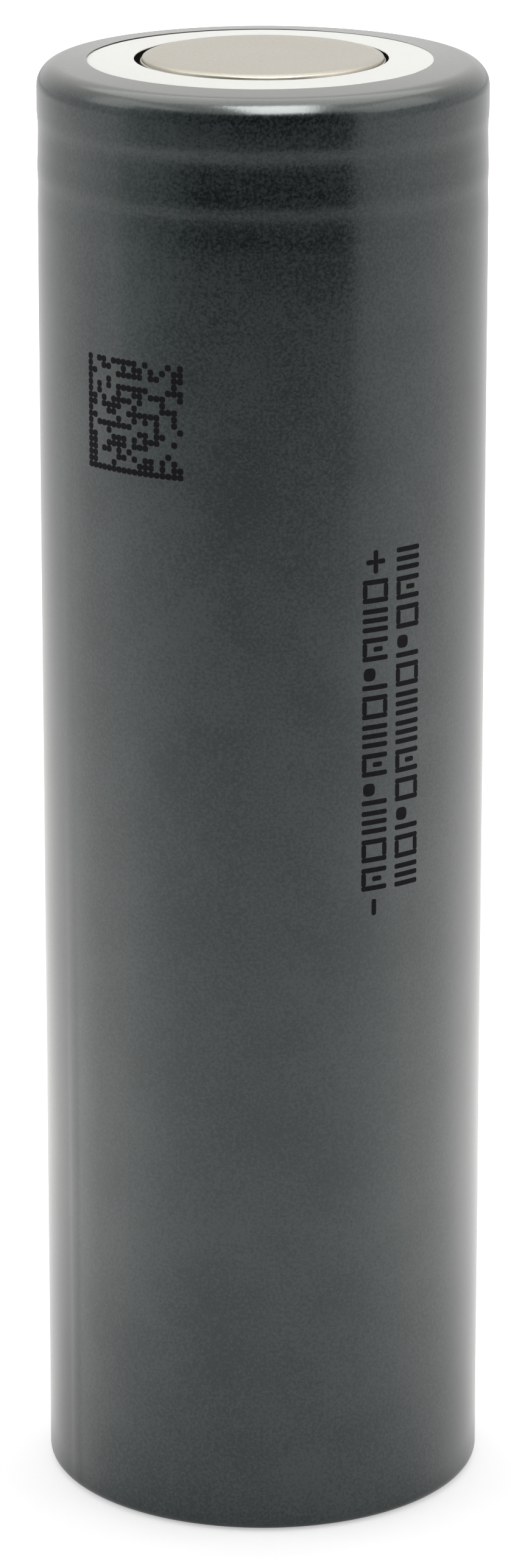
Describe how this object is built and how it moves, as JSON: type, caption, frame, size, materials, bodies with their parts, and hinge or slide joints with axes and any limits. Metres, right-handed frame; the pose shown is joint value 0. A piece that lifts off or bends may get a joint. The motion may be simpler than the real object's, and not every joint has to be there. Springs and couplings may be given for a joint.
{
  "type": "cylindrical battery cell",
  "caption": "Cylindrical lithium-ion cell in a dark shrink sleeve, with a flat positive cap in a white insulating ring, a crimped can and a wound electrode roll inside.",
  "frame": {"origin": "middle of the negative end, in the plane that the cell stands on", "axes": "+Z along the cell's axis towards the positive cap; +X and +Y are across it, and the tabs lie in the YZ plane"},
  "size_m": [0.0212, 0.0212, 0.0702],
  "materials": {
    "sleeve_film": "satin, dark slate shrink film",
    "white_fibre": "matte white",
    "nickel_plated_steel": "satin nickel plating",
    "cap_nickel": "matte nickel plating",
    "gasket_plastic": "translucent white",
    "header_aluminium": "bright pressed",
    "insulator_plastic": "blue moulded",
    "tab_aluminium": "rolled strip",
    "insulator_fibre": "matte fibre sheet",
    "aluminium_foil": "bright foil",
    "cathode_coating": "matte black",
    "copper_foil": "bright copper foil",
    "graphite_coating": "matte dark grey",
    "separator_film": "white microporous film",
    "roll_tape": "amber tape",
    "closing_tape": "green film tape",
    "tab_nickel": "rolled nickel strip"
  },
  "bodies": {
    "root": {"sleeve": "sleeve_film", "top_insulator_ring": "white_fibre", "can": "nickel_plated_steel", "positive_cap": "cap_nickel", "header_gasket": "gasket_plastic", "vent_disc": "header_aluminium", "cid_insulator": "insulator_plastic", "cid_plate": "header_aluminium", "positive_tab": "tab_aluminium", "upper_insulator": "insulator_fibre", "cathode_foil": "aluminium_foil", "cathode_inner_coating": "cathode_coating", "cathode_outer_coating": "cathode_coating", "cathode_tab_tape": "roll_tape", "inner_separator": "separator_film", "anode_foil": "copper_foil", "anode_inner_coating": "graphite_coating", "anode_outer_coating": "graphite_coating", "anode_tab_tape": "roll_tape", "outer_separator": "separator_film", "roll_closing_tape": "closing_tape", "negative_tab": "tab_nickel", "lower_insulator": "insulator_fibre"}
  },
  "joints": []
}
